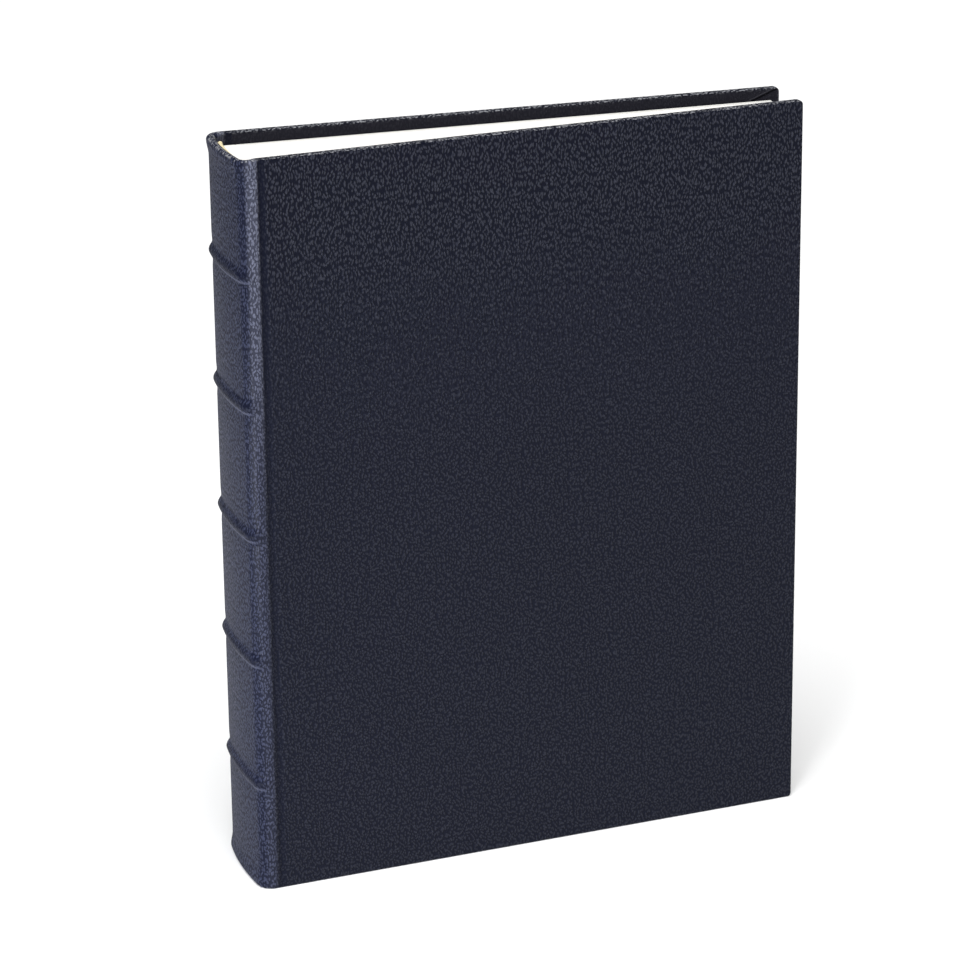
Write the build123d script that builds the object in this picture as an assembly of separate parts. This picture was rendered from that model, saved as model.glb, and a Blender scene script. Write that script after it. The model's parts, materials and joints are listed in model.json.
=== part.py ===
from build123d import *
import math
import os

# A leather-bound logbook standing upright on its tail.
# Book coordinates while modelling: X runs from the spine joint (x = 0) to the fore-edge, Y through the
# thickness with the front cover at -Y, Z up from the tail. The parts are moved to the centre of the
# footprint when they are written.

# Sheet and cover sizes, mm
page_height = 279.4
page_fore_edge = 215.9
head_square = 4.6
fore_square = 4.2
spine_thickness = 46.6
fore_edge_thickness = 26.4

# Cover layers, from the outside in
leather_thickness = 0.9
board_thickness = 2.2
turn_in_thickness = 0.6
pastedown_thickness = 0.25
turn_in_width = 16.0
turn_in_margin = 6.5
cover_corner_radius = 2.6
leather_edge_round = 0.7
mitre_angle = 22.0
mitre_length = 15.0
mitre_width = 0.3
mitre_depth = 0.3
joint_gap = 0.4

# Spine layers, from the outside in
spine_bulge = 7.0
spine_corner_radius = 5.8
inlay_thickness = 0.8
tube_wall = 0.25
hollow_gap = 0.8
mull_thickness = 0.3
thread_thickness = 0.26
tape_thickness = 0.3
layer_clearance = 0.02
lining_edge = 1.05
tube_fold = 0.25
tube_setback = 1.0
spine_turn_in = 15.0
lining_setback = 12.0

# Raised bands
band_count = 5
band_pitch = 50.3
band_half_width = 2.3
band_height = 1.25
core_half_width = 1.5
core_height = 1.2
band_start_angle = 50.0

# Headcaps and endbands
headcap_half_height = 1.6
headcap_reach = 1.3
headcap_inset = 0.5
endband_radius = 0.95
endband_inset = 0.3
endband_flange = 10.0

# Text block
signature_count = 10
leaf_count = 4
leaf_thickness = 0.25
leaf_clearance = 0.25
cover_clearance = 0.35
first_fold = 5.0
fold_step = 1.0
guard_clearance = 0.8
fold_clearance = 0.15
cut_margin = 1.0
tape_width = 12.0
thread_overhang = 1.0
kettle_inset = 12.0
thread_width = 0.3

# Sizes that follow
cover_height = page_height + 2 * head_square
cover_width = page_fore_edge + fore_square
half_spine = spine_thickness / 2
wedge_angle = math.degrees(math.atan((spine_thickness - fore_edge_thickness) / 2 / cover_width))
board_face = leather_thickness + board_thickness
turn_in_face = board_face + turn_in_thickness
cover_thickness = turn_in_face + pastedown_thickness
leaf_pitch = leaf_thickness + leaf_clearance
first_leaf_depth = cover_thickness + cover_clearance
block_depth = first_leaf_depth + (leaf_count + 1) * leaf_pitch
inlay_face = leather_thickness + inlay_thickness
tube_outer_face = inlay_face + tube_wall
tube_inner_start = tube_outer_face + hollow_gap
mull_start = tube_inner_start + tube_wall
thread_start = mull_start + mull_thickness + layer_clearance
tape_start = thread_start + thread_thickness + layer_clearance
block_start = tape_start + tape_thickness
block_bottom = head_square
block_top = head_square + page_height
band_heights = [cover_height / 2 + (i - (band_count - 1) / 2) * band_pitch for i in range(band_count)]
centre_x = (cover_width - spine_bulge - band_height) / 2


def spine_slope():
    """Angle from the -X direction at which the spine's corner arcs meet the middle one."""
    rise = spine_bulge - spine_corner_radius
    run = half_spine - spine_corner_radius
    return 2 * math.degrees(math.atan2(rise, run))


def spine_point(inset, angle):
    """A point of the corner arc on the front side, by its angle from the -X direction."""
    radius = spine_corner_radius - inset
    centre_y = spine_corner_radius - half_spine
    return (-radius * math.cos(math.radians(angle)), centre_y - radius * math.sin(math.radians(angle)))


def spine_path(inset, start_angle):
    """The spine's plan as three tangent arcs, from the front joint round to the back joint."""
    slope = spine_slope()
    start = spine_point(inset, start_angle)
    middle = spine_point(inset, (start_angle + slope) / 2)
    meet = spine_point(inset, slope)
    crown = (inset - spine_bulge, 0)
    front = ThreePointArc(start, middle, meet)
    back_of_spine = ThreePointArc(meet, crown, (meet[0], -meet[1]))
    rear = ThreePointArc((meet[0], -meet[1]), (middle[0], -middle[1]), (start[0], -start[1]))
    return Wire([front, back_of_spine, rear])


def spine_face(inset, reach=0.0):
    """The area inside the spine's plan, closed by a straight line, or run on to x = reach."""
    half = half_spine - inset
    path = spine_path(inset, 90)
    if reach > 0:
        corners = [(0, half), (reach, half), (reach, -half), (0, -half)]
    else:
        corners = [(0, half), (0, -half)]
    return make_face(list(path.edges()) + list(Polyline(*corners).edges()))


def spine_layer(outer, inner, bottom, top, edge=0.0):
    """A curved layer of the spine between two insets, cut off short of the joints by edge."""
    ring = spine_face(outer) - spine_face(inner)
    solid = Pos(0, 0, bottom) * extrude(ring, top - bottom)
    if edge > 0:
        solid = solid - Pos(0, 0, cover_height / 2) * Box(2 * edge, 2 * spine_thickness, 2 * cover_height)
    return solid


def swept_section(section, inset, start_angle, height):
    """A section swept round the spine's plan at one height."""
    path = Pos(0, 0, height) * spine_path(inset, start_angle)
    plane = Plane(origin=path @ 0, x_dir=(0, 0, 1), z_dir=path % 0)
    return sweep(plane * section, path=path)


def band_core(height):
    """A strip of leatherboard, domed outwards, glued round the spine inlay under the leather."""
    dome = Ellipse(core_half_width, core_height)
    outer_half = swept_section(dome, leather_thickness, band_start_angle, height)
    inside = Pos(0, 0, height - core_half_width - cut_margin) * extrude(
        spine_face(leather_thickness, spine_bulge), 2 * (core_half_width + cut_margin))
    return outer_half - inside


def spine_leather():
    """Leather over the back of the book, with ridges over the bands and rolled headcaps."""
    skin = spine_layer(0, leather_thickness, 0, cover_height)
    for height in band_heights:
        ridge = swept_section(Ellipse(band_half_width, band_height), 0, band_start_angle, height)
        bore = Pos(0, 0, height - band_half_width - cut_margin) * extrude(
            spine_face(leather_thickness, spine_bulge), 2 * (band_half_width + cut_margin))
        skin = skin + (ridge - bore) - band_core(height)
    for end, roll in ((0, headcap_half_height), (cover_height, cover_height - headcap_half_height)):
        inner_end = spine_turn_in if end == 0 else cover_height - spine_turn_in
        turned = spine_layer(inlay_face, inlay_face + turn_in_thickness, min(end, inner_end),
                             max(end, inner_end), lining_edge)
        cap_inner = leather_thickness if end == 0 else cover_height - leather_thickness
        cap = spine_layer(0, inlay_face + turn_in_thickness, min(end, cap_inner), max(end, cap_inner),
                          lining_edge)
        bead = swept_section(Ellipse(headcap_half_height, headcap_reach), headcap_inset,
                             band_start_angle, roll)
        inlay_room = spine_layer(leather_thickness, inlay_face, leather_thickness,
                                 cover_height - leather_thickness)
        skin = skin + turned + cap + (bead - inlay_room)
    return skin


def spine_inlay():
    """Card that stiffens the back, under the leather."""
    return spine_layer(leather_thickness, inlay_face, leather_thickness,
                       cover_height - leather_thickness, lining_edge)


def hollow_tube():
    """Paper tube: one wall is glued to the inlay and the other to the text block's lining."""
    bottom = spine_turn_in + tube_setback
    top = cover_height - bottom
    walls = spine_layer(inlay_face, tube_outer_face, bottom, top, lining_edge)
    walls = walls + spine_layer(tube_inner_start, mull_start, bottom, top, lining_edge)
    folds = spine_layer(inlay_face, mull_start, bottom, top, lining_edge)
    middle = Pos(-lining_edge - tube_fold - spine_thickness, 0, cover_height / 2) * Box(
        2 * spine_thickness, 2 * spine_thickness, 2 * cover_height)
    return walls + (folds - middle)


def mull():
    """Open cloth glued over the sewn backs of the signatures."""
    return spine_layer(mull_start, mull_start + mull_thickness, block_bottom + lining_setback,
                       block_top - lining_setback, lining_edge)


def sewing_tape(height):
    """Linen tape that the signatures are sewn to, round the back of the block at one band."""
    return spine_layer(tape_start, block_start - layer_clearance, height - tape_width / 2,
                       height + tape_width / 2, lining_edge)


def endband(end):
    """A cloth bead along the back edge of the block, with a flange glued down the back."""
    if end == "head":
        bead_height = block_top + endband_radius
        flange = (block_top - endband_flange, bead_height)
    else:
        bead_height = block_bottom - endband_radius
        flange = (bead_height, block_bottom + endband_flange)
    path_inset = block_start + endband_inset
    bead = swept_section(Circle(endband_radius), path_inset, band_start_angle, bead_height)
    cloth = spine_layer(tape_start, block_start - layer_clearance, flange[0], flange[1], lining_edge)
    return bead + cloth


def signature_lines(index):
    """Plan position of the boundary before signature index: y at the joint and at the fore-edge."""
    share = 1 - 2 * index / signature_count
    slope = math.tan(math.radians(wedge_angle))
    front = -half_spine + block_depth / math.cos(math.radians(wedge_angle))
    back_x = -spine_bulge
    return (front + slope * back_x) * share, (front + slope * page_fore_edge) * share


def signature(index):
    """One folded and sewn gathering: a slab that tapers to the fore-edge and ends on the round back."""
    back_a, fore_a = signature_lines(index)
    back_b, fore_b = signature_lines(index + 1)
    plan = Polygon((-spine_bulge, back_a), (page_fore_edge, fore_a), (page_fore_edge, fore_b),
                   (-spine_bulge, back_b), align=None)
    plan = plan & spine_face(block_start, cover_width)
    return Pos(0, 0, block_bottom) * extrude(plan, page_height)


def sewing_thread():
    """Stitches over each tape, one for each signature, and a kettle stitch near head and tail."""
    stitches = []
    for index in range(signature_count):
        back_a, fore_a = signature_lines(index)
        back_b, fore_b = signature_lines(index + 1)
        middle_y = (back_a + back_b) / 2
        for height in band_heights:
            length = tape_width + 2 * thread_overhang
            layer = spine_layer(thread_start, thread_start + thread_thickness, height - length / 2,
                                height + length / 2)
            stitches.append(layer & Pos(-spine_bulge / 2, middle_y, height) * Box(
                spine_bulge, thread_width, 2 * length))
    for height in (block_bottom + kettle_inset, block_top - kettle_inset):
        stitches.append(spine_layer(thread_start, thread_start + thread_thickness,
                                    height - thread_width / 2, height + thread_width / 2, 2 * lining_edge))
    return Compound([solid for stitch in stitches for solid in stitch.solids()])


def on_front(local):
    """Place a solid made in cover coordinates: x along the cover, y inwards from its outer face."""
    return Pos(0, -half_spine, 0) * Rot(0, 0, wedge_angle) * local


def slab(x_range, depth_range, z_range):
    """A box between two limits on each axis."""
    size = [high - low for low, high in (x_range, depth_range, z_range)]
    middle = [(high + low) / 2 for low, high in (x_range, depth_range, z_range)]
    return Pos(*middle) * Box(*size)


def fore_edge_corners(plate, radius):
    """Round the two corners of a cover layer at its fore-edge."""
    corners = plate.edges().filter_by(Axis.Y).sort_by(Axis.X)[-2:]
    return fillet(corners, radius)


def cover_board():
    """The stiff board inside a cover."""
    plate = slab((joint_gap, cover_width - leather_thickness), (leather_thickness, board_face),
                 (leather_thickness, cover_height - leather_thickness))
    return fore_edge_corners(plate, cover_corner_radius - leather_thickness)


def cover_leather():
    """Leather over a cover, turned in at head, tail and fore-edge, with mitred corners."""
    plate = slab((joint_gap, cover_width), (0, turn_in_face), (0, cover_height))
    plate = fore_edge_corners(plate, cover_corner_radius)
    rim = plate.faces().sort_by(Axis.Y)[0].edges() + plate.faces().sort_by(Axis.Y)[-1].edges()
    rim = [edge for edge in rim if edge.center().X > 2 * joint_gap]
    plate = fillet(rim, leather_edge_round)
    window = slab((0, cover_width - turn_in_width), (board_face, turn_in_face + cut_margin),
                  (turn_in_width, cover_height - turn_in_width))
    plate = plate - cover_board() - window
    for end, direction in ((cover_height, 1), (0, -1)):
        groove = slab((-mitre_length, 0), (turn_in_face - mitre_depth, turn_in_face + cut_margin),
                      (-mitre_width / 2, mitre_width / 2))
        plate = plate - Pos(cover_width, 0, end) * Rot(0, -direction * mitre_angle, 0) * groove
    return plate


def cover_infill():
    """Card that levels the inside of a cover with its turned-in leather."""
    return slab((joint_gap, cover_width - turn_in_width), (board_face, turn_in_face),
                (turn_in_width, cover_height - turn_in_width))


def pastedown():
    """The endpaper's half that is pasted to the inside of a cover."""
    return slab((joint_gap, cover_width - turn_in_margin), (turn_in_face, cover_thickness),
                (turn_in_margin, cover_height - turn_in_margin))


def leaf(index):
    """Loose leaf number index, counted from the cover; 0 is the flyleaf."""
    depth = first_leaf_depth + index * leaf_pitch
    start = first_fold + index * fold_step + fold_clearance
    return slab((start, page_fore_edge), (depth, depth + leaf_thickness), (block_bottom, block_top))


def endpaper_guard():
    """The sewn stubs that the loose leaves fold from, stepped back to the outermost fold."""
    outer_x = first_fold - guard_clearance
    inner_x = outer_x + (leaf_count + 1) * fold_step
    depths = (first_leaf_depth, block_depth)
    plan = Polygon((-spine_bulge, depths[0]), (outer_x, depths[0]), (inner_x, depths[1]),
                   (-spine_bulge, depths[1]), align=None)
    wedge = on_front(Pos(0, 0, block_bottom) * extrude(plan, page_height))
    back_limit = Pos(0, 0, block_bottom) * extrude(spine_face(block_start, cover_width), page_height)
    return wedge & back_limit


def save(name, shape):
    """Write one node, moved from book coordinates to the centre of the footprint."""
    export_step(Pos(-centre_x, 0, 0) * shape, os.path.join("parts", name + ".step"))


os.makedirs("parts", exist_ok=True)

save("spine_leather", spine_leather())
save("spine_inlay", spine_inlay())
save("spine_hollow_tube", hollow_tube())
save("spine_mull", mull())
save("sewing_thread", sewing_thread())
save("headband", endband("head"))
save("tailband", endband("tail"))
for number, height in enumerate(band_heights, start=1):
    save(f"band_core_{number}", band_core(height))
    save(f"sewing_tape_{number}", sewing_tape(height))
for number in range(signature_count):
    save(f"signature_{number + 1:02d}", signature(number))

cover_parts = {
    "board": cover_board(),
    "cover_leather": cover_leather(),
    "infill": cover_infill(),
    "pastedown": pastedown(),
    "flyleaf": leaf(0),
}
for number in range(1, leaf_count + 1):
    cover_parts[f"leaf_{number}"] = leaf(number)
for name, local in cover_parts.items():
    save(f"front_{name}", on_front(local))
    save(f"back_{name}", mirror(on_front(local), about=Plane.XZ))
save("front_endpaper_guard", endpaper_guard())
save("back_endpaper_guard", mirror(endpaper_guard(), about=Plane.XZ))
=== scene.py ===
import json
import math

import bpy
from mathutils import Matrix, Vector


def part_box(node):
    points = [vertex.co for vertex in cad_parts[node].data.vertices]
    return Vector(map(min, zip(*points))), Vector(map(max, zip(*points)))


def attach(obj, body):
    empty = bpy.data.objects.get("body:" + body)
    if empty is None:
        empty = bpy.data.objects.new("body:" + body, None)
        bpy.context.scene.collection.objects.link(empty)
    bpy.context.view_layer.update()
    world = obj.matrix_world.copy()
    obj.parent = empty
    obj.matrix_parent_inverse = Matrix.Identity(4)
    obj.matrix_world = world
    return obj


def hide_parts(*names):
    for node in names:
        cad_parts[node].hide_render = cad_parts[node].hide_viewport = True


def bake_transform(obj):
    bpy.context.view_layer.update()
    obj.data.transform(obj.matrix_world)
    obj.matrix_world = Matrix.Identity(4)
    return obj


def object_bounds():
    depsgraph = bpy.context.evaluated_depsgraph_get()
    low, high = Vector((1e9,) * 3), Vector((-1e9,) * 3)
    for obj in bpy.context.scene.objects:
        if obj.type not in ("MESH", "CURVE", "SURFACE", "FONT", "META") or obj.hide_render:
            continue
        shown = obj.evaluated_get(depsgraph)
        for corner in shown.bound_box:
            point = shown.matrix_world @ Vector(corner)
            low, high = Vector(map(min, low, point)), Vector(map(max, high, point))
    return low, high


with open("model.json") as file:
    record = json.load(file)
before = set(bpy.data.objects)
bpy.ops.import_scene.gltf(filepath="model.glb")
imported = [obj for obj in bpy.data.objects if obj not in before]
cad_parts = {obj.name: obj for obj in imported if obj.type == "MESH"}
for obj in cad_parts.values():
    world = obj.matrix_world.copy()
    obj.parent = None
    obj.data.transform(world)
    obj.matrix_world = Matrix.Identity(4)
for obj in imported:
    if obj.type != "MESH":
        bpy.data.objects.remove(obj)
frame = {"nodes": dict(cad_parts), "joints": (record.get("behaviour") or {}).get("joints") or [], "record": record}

mm = 0.001
cad_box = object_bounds()
hinge = {j["name"]: j for j in frame["joints"]}
joint_x, front_joint_y = hinge["front_cover_hinge"]["pos_m"][:2]
half_spine = -front_joint_y
wedge = math.atan2(*[m for m in frame["record"]["mounts"] if m["name"] == "back_cover_rest"][0]["axis"][:2])


# ---- Page block ------------------------------------------------------------------------------------
# Ten sewn gatherings of white ledger paper, cut flush at head, tail and fore-edge after sewing.
# Thread swells the backs, so each sheet runs a little thicker there and the block tapers to the
# fore-edge. The sheets stand one by one, with the small unevenness that a trimmed block keeps.

class Value:
    """A socket that works in sums: each sum adds the Math node that works it out."""

    def __init__(self, nodes, socket):
        self.nodes, self.socket = nodes, socket

    def sum(self, operation, first, second=0.0):
        return self.nodes.add("ShaderNodeMath", {"operation": operation}, {0: first, 1: second})

    def __add__(self, other): return self.sum("ADD", self, other)
    def __radd__(self, other): return self.sum("ADD", other, self)
    def __sub__(self, other): return self.sum("SUBTRACT", self, other)
    def __rsub__(self, other): return self.sum("SUBTRACT", other, self)
    def __mul__(self, other): return self.sum("MULTIPLY", self, other)
    def __rmul__(self, other): return self.sum("MULTIPLY", other, self)
    def __truediv__(self, other): return self.sum("DIVIDE", self, other)
    def __rtruediv__(self, other): return self.sum("DIVIDE", other, self)
    def __mod__(self, other): return self.sum("FLOORED_MODULO", self, other)
    def __lt__(self, other): return self.sum("LESS_THAN", self, other)
    def __gt__(self, other): return self.sum("GREATER_THAN", self, other)
    def __abs__(self): return self.sum("ABSOLUTE", self)
    def root(self): return self.sum("SQRT", self)


class Nodes:
    """A node tree, and the one way that nodes are added to it."""

    def __init__(self, tree):
        self.tree = tree

    def add(self, kind, settings=None, inputs=None, output=0):
        node = self.tree.nodes.new(kind)
        for name, value in (settings or {}).items():
            setattr(node, name, value)
        for name, value in (inputs or {}).items():
            self.feed(node.inputs[name], value)
        return Value(self, node.outputs[output])

    def feed(self, socket, value):
        if isinstance(value, Value):
            self.tree.links.new(value.socket, socket)
        else:
            socket.default_value = value

    def smooth(self, value, low, high, start=0.0, end=1.0):
        return self.add("ShaderNodeMapRange", {"interpolation_type": "SMOOTHSTEP"},
                        {"Value": value, "From Min": low, "From Max": high, "To Min": start, "To Max": end})

    def mix(self, share, first, second):
        return self.add("ShaderNodeMix", {"data_type": "RGBA"}, {0: share, 6: first, 7: second}, 2)


class Finish(Nodes):
    """A material and its node tree."""

    def __init__(self, name, roughness=0.6, specular=0.4):
        self.material = bpy.data.materials.new(name)
        self.material.use_nodes = True
        super().__init__(self.material.node_tree)
        self.shader = self.tree.nodes["Principled BSDF"]
        self.set("Roughness", roughness)
        self.set("Specular IOR Level", specular)

    def set(self, name, value):
        self.feed(self.shader.inputs[name], value)

    def object_coordinates(self):
        return self.add("ShaderNodeTexCoord", output=3)

    def parts(self, vector):
        node = self.tree.nodes.new("ShaderNodeSeparateXYZ")
        self.feed(node.inputs[0], vector)
        return [Value(self, out) for out in node.outputs]

    def noise(self, where, scale, detail=2.0, roughness=0.5, output=0):
        return self.add("ShaderNodeTexNoise", {}, {"Vector": where, "Scale": scale, "Detail": detail,
                                                   "Roughness": roughness}, output)

    def raise_by(self, height, distance, strength=1.0):
        self.set("Normal", self.add("ShaderNodeBump", {}, {"Height": height, "Distance": distance,
                                                           "Strength": strength}))


def paper_finish(name, colour, shade):
    """Uncoated paper: a faint cloudy tone and fine fibres that catch the light."""
    paper = Finish(name, roughness=0.85, specular=0.25)
    place = paper.object_coordinates()
    cloud = paper.noise(place, 38.0, 3.0)
    fibre = paper.noise(place, 2400.0, 2.0)
    paper.set("Base Color", paper.mix(paper.smooth(cloud * 0.8 + fibre * 0.2, 0.3, 0.7), colour, shade))
    paper.raise_by(fibre, 0.00002, 0.5)
    return paper


def cut_edge_finish():
    """The trimmed edges of the sheets: white, with hair-thin warm lines between the gatherings."""
    edge = paper_finish("page edges", (0.90, 0.89, 0.86, 1), (0.84, 0.82, 0.77, 1))
    x, y, _ = edge.parts(edge.object_coordinates())
    taper = 1 - (x - joint_x) * (0.5 / page_reach)
    line = edge.noise(edge.add("ShaderNodeCombineXYZ", {}, {0: 0.0, 1: y / taper, 2: 0.0}), 900.0, 3.0, 0.7)
    edge.set("Base Color", edge.mix(edge.smooth(line, 0.52, 0.72), (0.92, 0.91, 0.885, 1),
                                    (0.80, 0.77, 0.70, 1)))
    return edge


def geometry_tree(name, inputs):
    """A Geometry Nodes tree with named inputs; gives its nodes and a function that reads an input."""
    tree = bpy.data.node_groups.new(name, "GeometryNodeTree")
    tree.interface.new_socket("Geometry", in_out="INPUT", socket_type="NodeSocketGeometry")
    tree.interface.new_socket("Geometry", in_out="OUTPUT", socket_type="NodeSocketGeometry")
    for label, (kind, start) in inputs.items():
        socket = tree.interface.new_socket(label, in_out="INPUT", socket_type=kind)
        socket.default_value = start
    nodes = Nodes(tree)
    source = tree.nodes.new("NodeGroupInput")
    return nodes, lambda label: Value(nodes, source.outputs[label])


def finish_tree(nodes, instances, material):
    """Ends a tree in Realize Instances and Set Material."""
    solid = nodes.add("GeometryNodeRealizeInstances", {}, {0: instances})
    made = nodes.add("GeometryNodeSetMaterial", {}, {"Geometry": solid, "Material": material})
    out = nodes.tree.nodes.new("NodeGroupOutput")
    nodes.tree.links.new(made.socket, out.inputs[0])


def grow(name, nodes, values, seed_mesh=None):
    """Runs a tree on a mesh and gives the plain mesh that it makes."""
    carrier = bpy.data.objects.new(name + "_carrier", seed_mesh or bpy.data.meshes.new(name))
    bpy.context.scene.collection.objects.link(carrier)
    modifier = carrier.modifiers.new("grow", "NODES")
    modifier.node_group = nodes.tree
    for item in nodes.tree.interface.items_tree:
        if item.in_out == "INPUT" and item.name in values:
            modifier[item.identifier] = values[item.name]
    ready = carrier.evaluated_get(bpy.context.evaluated_depsgraph_get())
    mesh = bpy.data.meshes.new_from_object(ready)
    carrier.modifiers.clear()
    bpy.data.objects.remove(carrier)
    piece = bpy.data.objects.new(name, mesh)
    bpy.context.scene.collection.objects.link(piece)
    return piece


block_low, block_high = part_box("signature_01")
page_height = block_high.z - block_low.z
page_fore = block_high.x
page_reach = page_fore - joint_x
spine_corner = 5.8 * mm
spine_bulge = joint_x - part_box("spine_mull")[0].x + 3.0 * mm
spine_rise = spine_bulge - spine_corner
spine_run = half_spine - spine_corner
crown_slope = 2 * math.atan2(spine_rise, spine_run)
crown_spread = spine_run / math.sin(crown_slope)
page_inset = 3.9 * mm
sheets_in_block = 120
block_half_at_joint = -block_low.y - math.tan(wedge) * (joint_x - block_low.x)
block_half_at_fore = block_half_at_joint - math.tan(wedge) * page_reach


def page_block():
    """The sheets of the ten gatherings, one tapered leaf on each point of a line."""
    nodes, given = geometry_tree("page_stack", {
        "Sheets": ("NodeSocketInt", sheets_in_block), "Seed": ("NodeSocketInt", 7),
        "Unevenness": ("NodeSocketFloat", 0.0001), "Gap": ("NodeSocketFloat", 0.03)})
    count = given("Sheets")
    index = nodes.add("GeometryNodeInputIndex")
    share = 1 - 2 * (index + 0.5) / count
    crown_radius = crown_spread + spine_corner - page_inset
    half = share * block_half_at_joint
    start = crown_spread * math.cos(crown_slope) - (crown_radius ** 2 - half * half).root()
    def uneven(seed):
        return nodes.add("FunctionNodeRandomValue", {"data_type": "FLOAT"}, {
            2: -1.0, 3: 1.0, "ID": index, "Seed": given("Seed") + seed}, 1) * given("Unevenness")
    length = page_reach - start - uneven(1)
    place = nodes.add("ShaderNodeCombineXYZ", {}, {
        0: start + joint_x, 1: -1 * share * (block_half_at_joint - start * math.tan(wedge)),
        2: uneven(2) * 0.6 + block_low.z})
    points = nodes.add("GeometryNodeMeshLine", {}, {"Count": count})
    points = nodes.add("GeometryNodeSetPosition", {}, {"Geometry": points, "Position": place})
    leaf = nodes.add("GeometryNodeMeshCube", {}, {"Size": (1, 1, 1)})
    position = nodes.add("GeometryNodeInputPosition")
    split = nodes.tree.nodes.new("ShaderNodeSeparateXYZ")
    nodes.feed(split.inputs[0], position)
    along, across, up = [Value(nodes, out) for out in split.outputs]
    fore_share = block_half_at_fore / block_half_at_joint
    taper = 1 - (along + 0.5) * (1 - fore_share)
    shaped = nodes.add("ShaderNodeCombineXYZ", {}, {0: along + 0.5, 1: across * taper, 2: up + 0.5})
    leaf = nodes.add("GeometryNodeSetPosition", {}, {"Geometry": leaf, "Position": shaped})
    turn = nodes.add("ShaderNodeCombineXYZ", {}, {0: 0.0, 1: 0.0, 2: share * wedge})
    thick = (1 - given("Gap")) * (2 * block_half_at_joint) / count
    size = nodes.add("ShaderNodeCombineXYZ", {}, {0: length, 1: thick, 2: page_height})
    stack = nodes.add("GeometryNodeInstanceOnPoints", {}, {
        "Points": points, "Instance": leaf, "Rotation": turn, "Scale": size})
    finish_tree(nodes, stack, cut_edge_finish().material)
    return grow("page_sheets", nodes, {"Sheets": sheets_in_block, "Seed": 7,
                                       "Unevenness": 0.07 * mm, "Gap": 0.03})


pages = page_block()
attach(pages, "text_block")
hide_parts(*[f"signature_{number:02d}" for number in range(1, 11)])


# ---- Sewing ----------------------------------------------------------------------------------------
# Waxed linen thread goes over five linen tapes at the raised bands, and a kettle stitch links the
# gatherings near head and tail. Open cotton cloth is glued over the whole back.

def woven_finish(name, colour, shade, pitch):
    """Plain weave: two sets of threads over and under each other, with a dusty glue tone."""
    cloth = Finish(name, roughness=0.9, specular=0.2)
    _, y, z = cloth.parts(cloth.object_coordinates())
    across = cloth.add("ShaderNodeMath", {"operation": "SINE"}, {0: y * (2 * math.pi / pitch)})
    down = cloth.add("ShaderNodeMath", {"operation": "SINE"}, {0: z * (2 * math.pi / pitch)})
    weave = across * down * 0.5 + 0.5
    cloth.set("Base Color", cloth.mix(weave, colour, shade))
    cloth.raise_by(weave, 0.0001, 0.7)
    return cloth


def dress(finish, *nodes):
    """Puts a finish on CAD nodes whose shape is already right."""
    for name in nodes:
        mesh = frame["nodes"][name].data
        mesh.materials.clear()
        mesh.materials.append(finish.material)


linen = woven_finish("linen", (0.78, 0.72, 0.58, 1), (0.60, 0.53, 0.40, 1), 0.5 * mm)
dress(linen, "sewing_thread", *[f"sewing_tape_{number}" for number in range(1, 6)])
dress(woven_finish("mull", (0.76, 0.73, 0.64, 1), (0.52, 0.48, 0.40, 1), 1.0 * mm), "spine_mull")


# ---- Endbands --------------------------------------------------------------------------------------
# A cream cotton bead at the head and the tail of the block's back: thread wound side by side round a
# cord, glued down by a cloth flange. It fills the corner behind the headcap.

def spine_plan(inset, angle, side=-1):
    """A point of the spine's plan that far inside its outer skin, by the angle of its normal."""
    slope = crown_slope
    if angle < slope:
        reach = crown_spread + spine_corner - inset
        x, y = crown_spread * math.cos(slope) - reach * math.cos(angle), reach * math.sin(angle)
    else:
        reach = spine_corner - inset
        x, y = -reach * math.cos(angle), spine_run + reach * math.sin(angle)
    return joint_x + x, side * y


def line_mesh(name, points):
    """A chain of edges through the points."""
    mesh = bpy.data.meshes.new(name)
    mesh.from_pydata(points, [(i, i + 1) for i in range(len(points) - 1)], [])
    return mesh


def endband_finish():
    """Cream cotton with a slightly darker twist line on every turn."""
    cotton = Finish("endband cotton", roughness=0.75, specular=0.3)
    place = cotton.object_coordinates()
    cotton.set("Base Color", cotton.mix(cotton.smooth(cotton.noise(place, 2600.0, 2.0), 0.35, 0.65),
                                        (0.74, 0.62, 0.34, 1), (0.88, 0.80, 0.55, 1)))
    cotton.raise_by(cotton.noise(place, 9000.0, 1.0), 0.00003, 0.6)
    return cotton


def winding_tree(material):
    """Turns of thread side by side along a line."""
    nodes, given = geometry_tree("thread_windings", {
        "Pitch": ("NodeSocketFloat", 0.4 * mm), "Cord radius": ("NodeSocketFloat", 0.7 * mm),
        "Thread radius": ("NodeSocketFloat", 0.2 * mm)})
    entry = [n for n in nodes.tree.nodes if n.bl_idname == "NodeGroupInput"][0]
    line = nodes.add("GeometryNodeMeshToCurve", {}, {"Mesh": Value(nodes, entry.outputs["Geometry"])})
    points = nodes.tree.nodes.new("GeometryNodeCurveToPoints")
    points.mode = "LENGTH"
    nodes.feed(points.inputs["Curve"], line)
    nodes.feed(points.inputs["Length"], given("Pitch"))
    ring = nodes.add("GeometryNodeCurvePrimitiveCircle", {}, {"Resolution": 14,
                                                              "Radius": given("Cord radius")})
    section = nodes.add("GeometryNodeCurvePrimitiveCircle", {}, {"Resolution": 6,
                                                                 "Radius": given("Thread radius")})
    turn = nodes.add("GeometryNodeCurveToMesh", {}, {"Curve": ring, "Profile Curve": section})
    wound = nodes.add("GeometryNodeInstanceOnPoints", {}, {
        "Points": Value(nodes, points.outputs["Points"]), "Instance": turn,
        "Rotation": Value(nodes, points.outputs["Rotation"])})
    finish_tree(nodes, wound, material)
    return nodes


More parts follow.
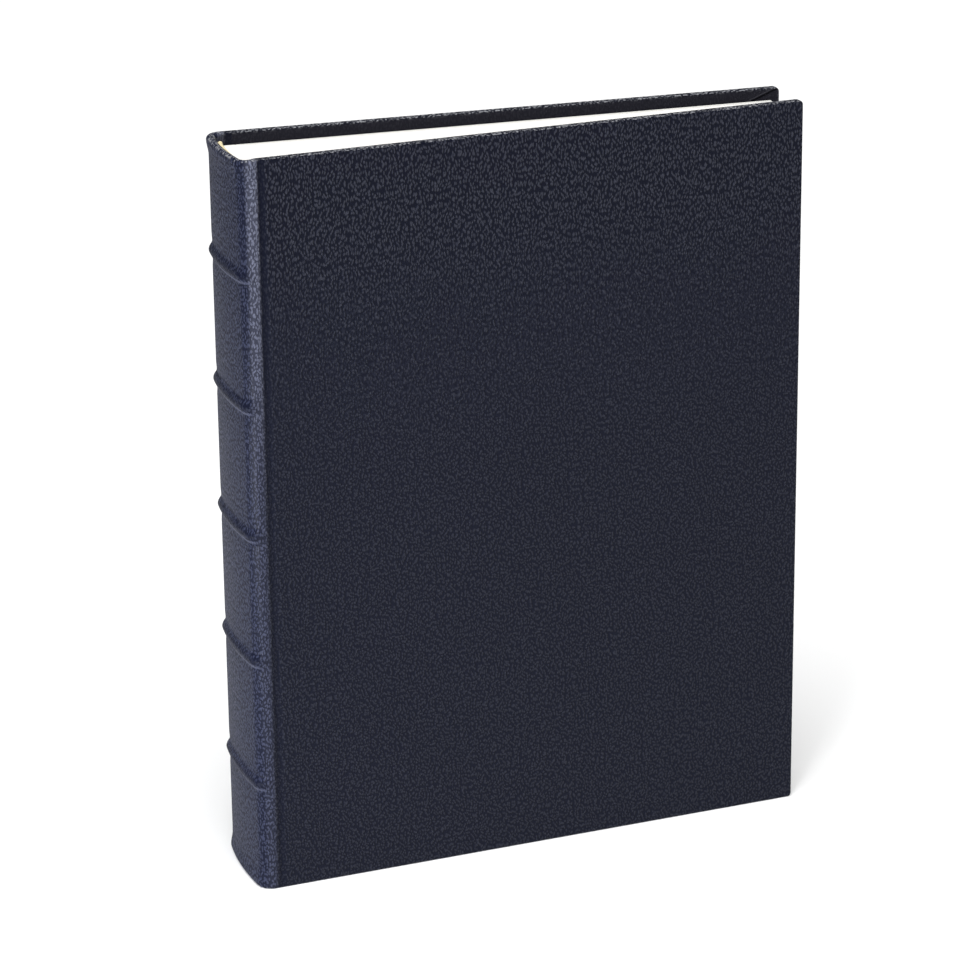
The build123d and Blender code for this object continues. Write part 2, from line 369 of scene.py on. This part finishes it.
cotton = endband_finish()
windings = winding_tree(cotton.material)
bead_inset = 4.2 * mm
bead_angle = math.radians(50)
bead_steps = 20
cord_radius = 0.72 * mm
thread_radius = 0.22 * mm
bead_from_end = 0.95 * mm
for node in ("headband", "tailband"):
    low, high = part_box(node)
    bead_height = high.z - bead_from_end if node == "headband" else low.z + bead_from_end
    angles = [bead_angle * (1 - step / bead_steps) for step in range(bead_steps)]
    front = [(*spine_plan(bead_inset, a), bead_height) for a in angles]
    back = [(*spine_plan(bead_inset, a, 1), bead_height) for a in reversed(angles)]
    crown = [(*spine_plan(bead_inset, 0.0), bead_height)]
    bead = grow(f"{node}_windings", windings, {"Pitch": 0.4 * mm, "Cord radius": cord_radius,
                                              "Thread radius": thread_radius},
                line_mesh(node, front + crown + back))
    for polygon in bead.data.polygons:
        polygon.use_smooth = True
    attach(bead, "text_block")
dress(cotton, "headband", "tailband")


# ---- Linings of the spine --------------------------------------------------------------------------
# A cream paper tube joins the block's back to the leather's stiffening card, so that the back opens
# hollow. Under the leather five strips of leatherboard make the raised bands.

dress(paper_finish("kraft", (0.72, 0.62, 0.42, 1), (0.60, 0.50, 0.32, 1)), "spine_hollow_tube")
dress(paper_finish("manila card", (0.50, 0.42, 0.28, 1), (0.42, 0.34, 0.22, 1)), "spine_inlay",
      "front_infill", "back_infill")
dress(paper_finish("leatherboard", (0.30, 0.19, 0.11, 1), (0.22, 0.13, 0.07, 1)),
      *[f"band_core_{number}" for number in range(1, 6)])


# ---- Boards ----------------------------------------------------------------------------------------
# Grey pressed board, cut square and slightly rounded at the fore-edge corners, wholly inside the
# leather and the pasted endpapers. The end at the hinge is stained like the leather, since it shows
# when the cover is wide open.

board = paper_finish("grey board", (0.27, 0.26, 0.24, 1), (0.20, 0.19, 0.18, 1))
from_hinge_end = board.parts(board.object_coordinates())[0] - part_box("front_board")[0].x
stained = board.smooth(from_hinge_end, 3.0 * mm, 1.5 * mm)
board.set("Base Color", board.mix(stained, (0.24, 0.23, 0.21, 1), (0.0060, 0.0070, 0.0130, 1)))
dress(board, "front_board", "back_board")


# ---- Leaves ----------------------------------------------------------------------------------------
# Loose leaves at the front and back turn on the sewn guards. They are ruled by machine with pale
# lines and columns for entries, and carry no printing. Flyleaves and pastedowns are plain.

def ruled_finish():
    """White ledger paper with pale blue lines, a heavier head rule and columns for figures."""
    ruled = Finish("ruled ledger paper", roughness=0.85, specular=0.25)
    x, _, z = ruled.parts(ruled.object_coordinates())
    line_pitch, line_width = 8.0 * mm, 0.28 * mm
    head_rule_place, head_rule_half_width, column_half_width = 24 * mm, 0.35 * mm, 0.18 * mm
    first_line, first_column_mark, foot_margin = 26 * mm, 16 * mm, 14 * mm
    fore_margin, gutter_margin = 8 * mm, 18 * mm
    from_head = block_high.z - z
    from_fore = page_fore - x
    above_foot = from_head < page_height - foot_margin
    body = (from_head > first_line) * above_foot
    lines = ((from_head % line_pitch) < line_width) * body
    head_rule = (abs(from_head - head_rule_place) < head_rule_half_width)
    columns = 0.0
    for place in (14, 34, 54, 74, 94, 132, 170, 192):
        columns = columns + (abs(from_fore - place * mm) < column_half_width)
    columns = columns * (from_head > first_column_mark) * above_foot
    inside = (from_fore > fore_margin) * (from_fore < page_reach - gutter_margin)
    fibre = ruled.noise(ruled.object_coordinates(), 2400.0, 2.0)
    paper = ruled.mix(ruled.smooth(fibre, 0.3, 0.7), (0.90, 0.89, 0.86, 1), (0.85, 0.84, 0.80, 1))
    blue = ruled.mix(lines * inside * 0.75, paper, (0.40, 0.55, 0.74, 1))
    red = ruled.mix((columns + head_rule) * inside * 0.7, blue, (0.70, 0.34, 0.32, 1))
    ruled.set("Base Color", red)
    ruled.raise_by(fibre, 0.00002, 0.5)
    return ruled


dress(ruled_finish(), *[f"{side}_leaf_{number}" for side in ("front", "back") for number in range(1, 5)])
dress(paper_finish("endpaper", (0.88, 0.87, 0.835, 1), (0.82, 0.805, 0.76, 1)),
      *[f"{side}_{name}" for side in ("front", "back") for name in ("flyleaf", "pastedown",
                                                                    "endpaper_guard")])


# ---- Leather ---------------------------------------------------------------------------------------
# One blue-black pebbled goatskin covers both boards and the back. It is drawn round the raised bands,
# rolled over into headcaps, turned in over the boards and mitred at the corners. It is made as two
# halves that meet on the middle line of the back, each running round the joint onto its cover.

cover_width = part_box("front_cover_leather")[1].x - joint_x
cover_height = cad_box[1].z - cad_box[0].z
corner_arc = spine_corner * (math.pi / 2 - crown_slope)
crown_arc = (crown_spread + spine_corner) * crown_slope
corner_round = 1.7 * mm
edge_round = 0.7 * mm
frame_width = 20 * mm
leather_thickness = 0.88 * mm
most_proud = 1.25 * mm
band_stand = 1.24 * mm
band_half_foot = 3.0 * mm
core_half_width = 1.55 * mm
band_pitch = 50.3 * mm
band_heights = [cover_height / 2 + (number - 2) * band_pitch for number in range(5)]


def smooth_step(value, low, high):
    t = min(1.0, max(0.0, (value - low) / (high - low)))
    return t * t * (3 - 2 * t)


def blend_of(share, first, second):
    return first + (second - first) * share


def skin_place(along, depth, side):
    """Plan position under the outer face: distance from the joint towards the fore-edge, and depth."""
    if along >= 0:
        x = along * math.cos(wedge) - depth * math.sin(wedge)
        y = half_spine - along * math.sin(wedge) - depth * math.cos(wedge)
        return joint_x + x, side * y
    if -along <= corner_arc:
        angle = math.pi / 2 + along / spine_corner
    else:
        angle = max(0.0, crown_slope - (-along - corner_arc) / (crown_spread + spine_corner))
    return spine_plan(depth, angle, side)


def turned_edge():
    """The leather's path over an edge: (inset, depth) on the cover and at the headcap, for each ring."""
    cover, cap = [], []
    quarter = math.pi / 2
    cap_round = 1.6 * mm
    edge_stops = (1.6, 2.5, 3.2)
    turn_in_face, turn_in_back = 3.7 * mm, 3.12 * mm
    cap_face, cap_back = 2.3 * mm, 1.72 * mm
    # Over the outer corner: a quarter turn.
    roll_steps = 6
    for step in range(roll_steps + 1):
        turn = quarter * step / roll_steps
        cover.append((edge_round * (1 - math.sin(turn)), edge_round * (1 - math.cos(turn))))
        cap.append((cap_round * (1 - math.sin(turn)), (0.5 - 1.3 * math.cos(turn)) * mm))
    # Along the board's edge, while the headcap rolls on.
    for step, depth in enumerate(edge_stops, 1):
        turn = quarter * step / roll_steps
        cover.append((0.0, depth * mm))
        cap.append((cap_round * (1 - math.cos(turn)), (0.5 + 1.9 * math.sin(turn)) * mm))
    # Round the inner corner.
    for step, cap_depth in ((1, 2.4452), (2, 2.4473), (3, 2.4242)):
        turn = quarter * step / 3
        cover.append(((0.5 - 0.5 * math.cos(turn)) * mm, (edge_stops[-1] + 0.5 * math.sin(turn)) * mm))
        cap.append(((0.9 + 0.65 * step) * mm, cap_depth * mm))
    # Down the face of the turn-in to its cut edge, and back up behind it.
    for inset in (1.4, 3.0, 5.0, 7.0, 10.0, 13.0, 15.4, 16.0):
        cover.append((inset * mm, turn_in_face))
        cap.append(((3.4 + inset * 0.72) * mm, cap_face))
    for inset in (16.0, 12.0, 6.0, 1.3):
        cover.append((inset * mm, turn_in_back))
        cap.append(((1.4 + 0.85 * inset) * mm, cap_back))
    # Out along the inside of the edge to the leather's under face.
    cover += [(0.92 * mm, 2.8 * mm), (0.92 * mm, 1.3 * mm), (1.25 * mm, leather_thickness)]
    cap += [(0.98 * mm, 1.5 * mm), (0.98 * mm, 1.0 * mm), (1.25 * mm, leather_thickness)]
    return cover, cap


def board_share(along):
    """0 on the back of the book, 1 on the cover."""
    return smooth_step(along, -7.5 * mm, 2.0 * mm)


def band_rise(along, height, outside):
    """How far the skin, or the space under it for the band's core, stands out at a band."""
    if along > 0:
        return 0.0
    gap = min(abs(height - band) for band in band_heights)
    if outside:
        if gap > band_half_foot:
            return 0.0
        hump = math.cos(math.pi / 2 * gap / band_half_foot) ** 1.3
        return band_stand * hump * smooth_step(-along, 0.6 * mm, 3.8 * mm)
    if gap > core_half_width:
        return 0.0
    hump = math.sqrt(1 - (gap / core_half_width) ** 2)
    return band_stand * hump * smooth_step(-along, 2.6 * mm, 3.9 * mm)


def drawn_in(along, height):
    """The tooled hollow beside the joint, and the skin pulled tight into the corners of each band."""
    hollow = smooth_step(along, 0.5 * mm, 2.2 * mm) * (1 - smooth_step(along, 2.6 * mm, 4.6 * mm))
    gap = min(abs(height - band) for band in band_heights)
    tuck = math.exp(-((gap - 3.9 * mm) / (1.5 * mm)) ** 2) * smooth_step(-along, 0.8 * mm, 4 * mm)
    return 0.45 * mm * hollow + 0.16 * mm * tuck


def cap_flare(along, from_end):
    """The headcap stands proud of the back: the outer face swings out to meet its rolled rim."""
    reach = 0.8 * mm * (1 - smooth_step(from_end, 1.6 * mm, 7.5 * mm))
    return reach * (1 - board_share(along))


def skin_columns():
    """Distances from the joint at which the outer face has a column, from the crown to the fore-edge."""
    columns = [-corner_arc - crown_arc * (1 - step / 14) for step in range(14)]
    columns += [-corner_arc * (1 - step / 20) for step in range(20)]
    columns += [0.35 * mm * step for step in range(14)]
    stop = cover_width - frame_width
    start = 6.2 * mm
    columns += [start + (stop - start) * step / 24 for step in range(25)]
    return columns + [cover_width - inset * mm for inset in (16, 12, 8.5, 6, 4.4, 3.2, 2.4, 1.7, 1.15, 0.7)]


def skin_rows():
    """Heights at which the outer face has a row, from the tail to the head."""
    edge = [inset * mm for inset in (0.7, 1.15, 1.7, 2.4, 3.2, 4.4, 6, 8.5, 12, 16, 20)]
    rows = list(edge)
    up_to_crest = (-6.5, -5, -4.2, -3.6, -3, -2.5, -2, -1.55, -1.1, -0.7, -0.35, 0)
    offsets = [step * mm for step in up_to_crest] + [-step * mm for step in reversed(up_to_crest[:-1])]
    for number, band in enumerate(band_heights):
        before = rows[-1]
        first = band + offsets[0]
        spaces = 3 if number == 0 else 6
        rows += [before + (first - before) * step / spaces for step in range(1, spaces)]
        rows += [band + offset for offset in offsets]
    last, top = rows[-1], cover_height - frame_width
    rows += [last + (top - last) * step / 3 for step in (1, 2)]
    return rows + [cover_height - inset for inset in reversed(edge)]


def half_skin(side):
    """Half of the leather as one closed mesh, with its flattened place kept as an attribute."""
    columns, rows = skin_columns(), skin_rows()
    cover_edge, cap_edge = turned_edge()
    last = len(cover_edge) - 1
    path = [0.0]
    for (a, b), (c, d) in zip(cover_edge, cover_edge[1:]):
        path.append(path[-1] + math.hypot(c - a, d - b))
    places, flats, spots, faces = [], [], [], []
    tiny = 1e-9

    def squeezed(reference, inset):
        if reference >= frame_width:
            return reference
        return inset + (reference - edge_round) * (frame_width - inset) / (frame_width - edge_round)

    def vertex(column, row, ring, inner=False):
        along_ref, height_ref = columns[column], rows[row]
        from_end_ref = min(height_ref, cover_height - height_ref)
        at_head = height_ref > cover_height / 2
        share = board_share(along_ref)
        inset = blend_of(share, cap_edge[ring][0], cover_edge[ring][0])
        depth = blend_of(share, cap_edge[ring][1], cover_edge[ring][1])
        from_fore = squeezed(cover_width - along_ref, cover_edge[ring][0])
        from_end = squeezed(from_end_ref, inset)
        if from_fore < corner_round and from_end < corner_round:
            across, up = corner_round - from_fore, corner_round - from_end
            size = max(across, up)
            if size > tiny:
                eighth = math.pi / 4
                turn = up / across * eighth if across > up else math.pi / 2 - across / up * eighth
                across, up = size * math.cos(turn), size * math.sin(turn)
            from_fore, from_end = corner_round - across, corner_round - up
        along = cover_width - from_fore
        height = cover_height - from_end if at_head else from_end
        if inner:
            depth = leather_thickness - band_rise(along, height, False)
        elif ring == 0:
            depth = drawn_in(along, height) * smooth_step(from_end_ref, 0.0, 3 * mm) - band_rise(
                along, height, True) - cap_flare(along, from_end)
        elif ring <= 3:
            depth += drawn_in(along, height) * (0.25 - ring * 0.08)
        x, y = skin_place(along, max(depth, -most_proud), side)
        places.append((x, y, height))
        slack = edge_round - path[ring]
        flat_across, flat_up = along_ref, height_ref
        if cover_width - along_ref <= edge_round + tiny:
            flat_across = cover_width - slack
        if from_end_ref <= edge_round + tiny:
            flat_up = cover_height - slack if at_head else slack
        flats.append((flat_across, flat_up, float(ring)))
        spots.append((cover_width - along, from_end, depth))
        return len(places) - 1

    wide, tall = len(columns), len(rows)
    outer = [[vertex(c, r, 0) for r in range(tall)] for c in range(wide)]
    inner = [[vertex(c, r, last, True) for r in range(tall)] for c in range(wide)]
    rim = [(c, 0) for c in range(wide)] + [(wide - 1, r) for r in range(1, tall)]
    rim += [(c, tall - 1) for c in range(wide - 2, -1, -1)]
    rings = [[outer[c][r] for c, r in rim]]
    for ring in range(1, last):
        rings.append([vertex(c, r, ring) for c, r in rim])
    rings.append([inner[c][r] for c, r in rim])
    for c in range(wide - 1):
        for r in range(tall - 1):
            faces.append((outer[c][r], outer[c + 1][r], outer[c + 1][r + 1], outer[c][r + 1]))
            faces.append((inner[c][r], inner[c][r + 1], inner[c + 1][r + 1], inner[c + 1][r]))
    for near, far in zip(rings, rings[1:]):
        for step in range(len(rim) - 1):
            faces.append((near[step + 1], near[step], far[step], far[step + 1]))
    end = [outer[0][r] for r in range(tall)] + [ring[-1] for ring in rings[1:]]
    end += [inner[0][r] for r in range(tall - 2, -1, -1)] + [ring[0] for ring in reversed(rings[1:-1])]
    faces.append(tuple(end))
    if side > 0:
        faces = [tuple(reversed(face)) for face in faces]
    mesh = bpy.data.meshes.new("leather")
    mesh.from_pydata(places, [], faces)
    for name, vectors in (("skin", flats), ("corner", spots)):
        kept = mesh.attributes.new(name, "FLOAT_VECTOR", "POINT")
        kept.data.foreach_set("vector", [value for vector in vectors for value in vector])
    mesh.polygons.foreach_set("use_smooth", [True] * len(mesh.polygons))
    mesh.set_sharp_from_angle(angle=math.radians(42))
    mesh.update()
    return mesh


def leather_finish():
    """Blue-black goatskin: rounded pebbles, with painted shade in the creases between them and painted highlights
    on their tops.

    Masks from the flattened place come first, then the grain and its relief, then the tones from the
    painted shade in the gaps up to the painted highlights on the tops, the painted highlight along the
    back's corner, the painted glints on the edges, the turned-in corners and the bands with their
    painted shade and highlights, and last the gloss.
    """
    skin = Finish("pebbled goatskin", roughness=0.5, specular=0.04)
    skin.set("Specular Tint", (0.72, 0.80, 1.0, 1))
    flat = skin.add("ShaderNodeAttribute", {"attribute_name": "skin"}, output=1)
    across, up, ring = skin.parts(flat)
    flat = skin.add("ShaderNodeCombineXYZ", {}, {0: across, 1: up, 2: ring * (0.35 * mm)})
    from_fore, from_end, depth = skin.parts(skin.add("ShaderNodeAttribute", {"attribute_name": "corner"},
                                                     output=1))
    on_back = skin.smooth(across, 1.0 * mm, -0.8 * mm)
    on_cover = 1 - on_back
    crease = skin.smooth(across, 0.6 * mm, 1.6 * mm) * skin.smooth(across, 4.4 * mm, 3.2 * mm)
    ridge = skin.smooth(across, -4.6 * mm, -1.8 * mm) * skin.smooth(across, 1.6 * mm, 0.2 * mm)
    turned = skin.smooth(ring, 10.0, 13.0)
    rim = skin.smooth(ring, 1.0, 4.0)
    head = skin.smooth(up, cover_height * 0.50, cover_height * 0.96)
    crease = crease * (0.40 + 0.60 * head)
    grain = 1 - crease.sum("MAXIMUM", crease * 0.85, turned * 0.85)

    drift = skin.noise(flat, 150.0, 2.0, output=1)
    bent = skin.add("ShaderNodeVectorMath", {"operation": "MULTIPLY_ADD"},
                    {0: drift, 1: (0.0026, 0.0026, 0.0), 2: flat})
    bend_x, bend_y, _ = skin.parts(bent)

    def pebbles(pitch, stretch):
        """Rounded cells of grain: 1 on their tops, falling to 0 between them."""
        where = skin.add("ShaderNodeCombineXYZ", {}, {0: bend_x / pitch, 1: bend_y / (pitch * stretch),
                                                      2: 0.0})
        near = skin.add("ShaderNodeTexVoronoi", {"voronoi_dimensions": "2D", "feature": "SMOOTH_F1"},
                        {"Vector": where, "Scale": 1.0, "Smoothness": 0.35, "Randomness": 0.95})
        return skin.smooth(near, 0.58, 0.20)

    cover_top = pebbles(0.90 * mm, 1.9) * head + pebbles(1.0 * mm, 1.25) * (1 - head)
    top = cover_top * on_cover + pebbles(0.9 * mm, 1.6) * on_back
    wrinkle = skin.noise(skin.add("ShaderNodeCombineXYZ", {}, {0: bend_x * 1500, 1: bend_y * 260, 2: 1.0}),
                         1.0, 3.0, 0.62)
    crosswise = skin.noise(skin.add("ShaderNodeCombineXYZ", {}, {0: bend_x * 380, 1: bend_y * 1300,
                                                                 2: 5.0}), 1.0, 3.0, 0.62)
    lines = wrinkle * head + crosswise * (1 - head)
    fine = skin.noise(flat, 1900.0, 3.0, 0.6)
    patch = skin.smooth(skin.noise(flat, 420.0, 2.0), 0.3, 0.7, 0.75, 1.0)
    relief = grain * (patch * top + on_back * (lines - 0.5) * 0.9) + 0.22 * fine
    skin.raise_by(relief, 0.50 * mm, 1.0)

    # The leather's blue-black dye, darkened in the gaps between the pebbles as painted shade and lightened on
    # their tops and wrinkle ridges as painted highlights. The back's copy of both colours is lighter and bluer
    # than the cover's: painted light from the left falling on the back.
    gap_dye_and_shade = skin.mix(on_back, (0.0032, 0.0040, 0.0105, 1), (0.0070, 0.0084, 0.0200, 1))
    top_dye_and_highlight = skin.mix(on_back, (0.0165, 0.0188, 0.0330, 1), (0.0340, 0.0395, 0.0740, 1))
    cloud = skin.noise(flat, 22.0, 2.0)
    crest = skin.smooth(top * patch + 0.5 * (fine - 0.5), 0.38, 1.0)
    pit = skin.smooth(top + 0.4 * (fine - 0.5), 0.34, 0.08)
    pebbled = 0.50 + (0.60 * crest - 0.38 * pit - 0.10) * (0.60 + 0.40 * head)
    wrinkled = skin.smooth(0.70 * lines + 0.30 * top, 0.38, 0.62)
    tone = pebbled * on_cover + wrinkled * on_back
    shade = skin.mix(tone * grain * (0.75 + 0.25 * cloud) + (1 - grain) * 0.35, gap_dye_and_shade, top_dye_and_highlight)
    # Painted highlight: the pebble tops on the cover are lightened towards the head.
    shade = skin.mix(head * on_cover * crest * 0.45, shade, (0.038, 0.040, 0.056, 1))

    # Painted highlight: a pale, granular stripe along the rounded corner of the back beside the joint, strongest
    # at the head.
    highlight_grain = skin.smooth(fine * 0.55 + top * 0.45, 0.32, 0.62)
    corner_highlight = ridge * (0.30 + 0.70 * highlight_grain) * (0.10 + 0.62 * head)
    shade = skin.mix(corner_highlight, shade, (0.170, 0.180, 0.245, 1))
    # Painted glints: small light specks on the pebble tops.
    grain_glint = grain * skin.smooth(fine, 0.58, 0.72) * skin.smooth(top, 0.4, 0.9)
    shade = skin.mix(grain_glint * 0.4, shade, (0.065, 0.072, 0.100, 1))
    glint = rim * (1 - turned) * skin.smooth(skin.noise(flat, 1000.0, 0.0), 0.52, 0.60)
    shade = skin.mix(glint * 0.8, shade, (0.34, 0.345, 0.37, 1))
    shade = skin.mix(turned * 0.7, shade, (0.0165, 0.0155, 0.0190, 1))

    # The mitres at the corners of the turn-ins: a near-black line, partly the joint itself and mostly painted
    # shade in its crease, and beside it a painted highlight along the edge of the lapped leather.
    mitre_angle = math.radians(22)
    slant = from_end * math.cos(mitre_angle) - from_fore * math.sin(mitre_angle)
    inside = (depth > 3.3 * mm) * skin.smooth(from_fore, 16 * mm, 11 * mm)
    mitre = skin.smooth(abs(slant), 0.50 * mm, 0.22 * mm) * inside
    lap = skin.smooth(abs(slant + 0.75 * mm), 0.30 * mm, 0.10 * mm) * inside
    shade = skin.mix(mitre * 0.95, shade, (0.0010, 0.0010, 0.0016, 1))
    shade = skin.mix(lap * 0.5, shade, (0.060, 0.060, 0.070, 1))

    # At each raised band: painted shade over its crest and a painted highlight along its lower foot.
    from_band = ((up - band_heights[0] + band_pitch / 2) % band_pitch) - band_pitch / 2
    past_ridge = skin.smooth(across, -2.2 * mm, -4.4 * mm)
    lower_foot = past_ridge * skin.smooth(abs(from_band + 2.3 * mm), 0.9 * mm, 0.2 * mm)
    band_crest = past_ridge * skin.smooth(abs(from_band - 0.2 * mm), 2.0 * mm, 0.6 * mm)
    shade = skin.mix(band_crest * 0.6, shade, (0.0050, 0.0062, 0.0160, 1))
    shade = skin.mix(lower_foot * 0.6, shade, (0.085, 0.093, 0.145, 1))
    # Painted shade darkens the tooled groove beside the joint.
    skin.set("Base Color", skin.mix(crease * 0.6, shade, (0.0042, 0.0050, 0.0115, 1)))

    gloss_on_cover = (0.12 + 0.24 * crest) * grain
    gloss_on_back = 0.02 + 0.06 * (1 - head) + 0.12 * ridge
    skin.set("Coat Weight", gloss_on_cover * on_cover + gloss_on_back * on_back)
    skin.set("Coat Roughness", 0.30)
    skin.set("Roughness", 0.60 - 0.16 * top * grain - 0.06 * ridge + 0.20 * (fine - 0.5))
    return skin


leather = leather_finish()
for side, sign in (("front", -1), ("back", 1)):
    mesh = half_skin(sign)
    mesh.materials.append(leather.material)
    half = bpy.data.objects.new(f"{side}_leather_skin", mesh)
    bpy.context.scene.collection.objects.link(half)
    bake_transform(half)
    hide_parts(f"{side}_cover_leather", "spine_leather")


# ---- Floor, light and camera -----------------------------------------------------------------------
# The book stands on its tail on a white table, under a broad soft ceiling light. A low softbox at the
# left lights the back of the book, a larger one stands at the front left, and all round is white.

def white_finish(name, tone):
    plain = Finish(name, roughness=0.9, specular=0.1)
    plain.set("Base Color", plain.mix(plain.noise(plain.object_coordinates(), 0.6), (tone, tone, tone, 1),
                                      (tone * 0.995, tone * 0.995, tone * 0.995, 1)))
    return plain


floor_half = 6.0
floor_mesh = bpy.data.meshes.new("floor")
floor_mesh.from_pydata([(-floor_half, -floor_half, 0), (floor_half, -floor_half, 0),
                        (floor_half, floor_half, 0), (-floor_half, floor_half, 0)], [], [(0, 1, 2, 3)])
floor_mesh.materials.append(white_finish("white table", 0.92).material)
floor = bpy.data.objects.new("floor", floor_mesh)
bpy.context.scene.collection.objects.link(floor)

world = bpy.data.worlds.new("white room")
world.use_nodes = True
world.node_tree.nodes["Background"].inputs["Color"].default_value = (1.0, 1.0, 1.0, 1)
world.node_tree.nodes["Background"].inputs["Strength"].default_value = 0.18
bpy.context.scene.world = world
bpy.context.scene.view_settings.view_transform = "Standard"


def soft_light(name, place, target, size, power, colour):
    lamp = bpy.data.lights.new(name, "AREA")
    lamp.shape, lamp.size, lamp.size_y = "RECTANGLE", size[0], size[1]
    lamp.energy, lamp.color = power, colour
    holder = bpy.data.objects.new(name, lamp)
    holder.location = place
    holder.rotation_euler = (Vector(target) - Vector(place)).to_track_quat("-Z", "Y").to_euler()
    bpy.context.scene.collection.objects.link(holder)


sun = bpy.data.lights.new("ceiling_light", "SUN")
sun.energy, sun.angle = 3.4, math.radians(50)
ceiling = bpy.data.objects.new("ceiling_light", sun)
ceiling.rotation_euler = Vector((0.12, 0.34, -1.0)).to_track_quat("-Z", "Y").to_euler()
bpy.context.scene.collection.objects.link(ceiling)
soft_light("low_left_softbox", place=(-0.44, -0.16, 0.05), target=(-0.11, 0, 0.06),
           size=(0.34, 0.08), power=1.3, colour=(0.93, 0.96, 1.0))
soft_light("front_left_softbox", place=(-0.95, -1.30, 0.95), target=(0, 0, 0.16),
           size=(0.30, 0.45), power=9.0, colour=(0.97, 0.98, 1.0))

yaw, pitch, roll = math.radians(19.03), math.radians(19.53), math.radians(-0.63)
sight = Vector((math.sin(yaw) * math.cos(pitch), math.cos(yaw) * math.cos(pitch), -math.sin(pitch)))
level = Vector((math.cos(yaw), -math.sin(yaw), 0))
upright = level.cross(sight)
right = math.cos(roll) * level + math.sin(roll) * upright
above = math.cos(roll) * upright - math.sin(roll) * level
camera_data = bpy.data.cameras.new("camera")
camera_data.lens, camera_data.sensor_width = 141.27, 36.0
camera_data.clip_start = 0.05
camera = bpy.data.objects.new("camera", camera_data)
axes = Matrix((right, above, -sight)).transposed()
camera.matrix_world = Matrix.Translation((-0.4620, -1.3063, 0.6353)) @ axes.to_4x4()
bpy.context.scene.collection.objects.link(camera)
bpy.context.scene.camera = camera
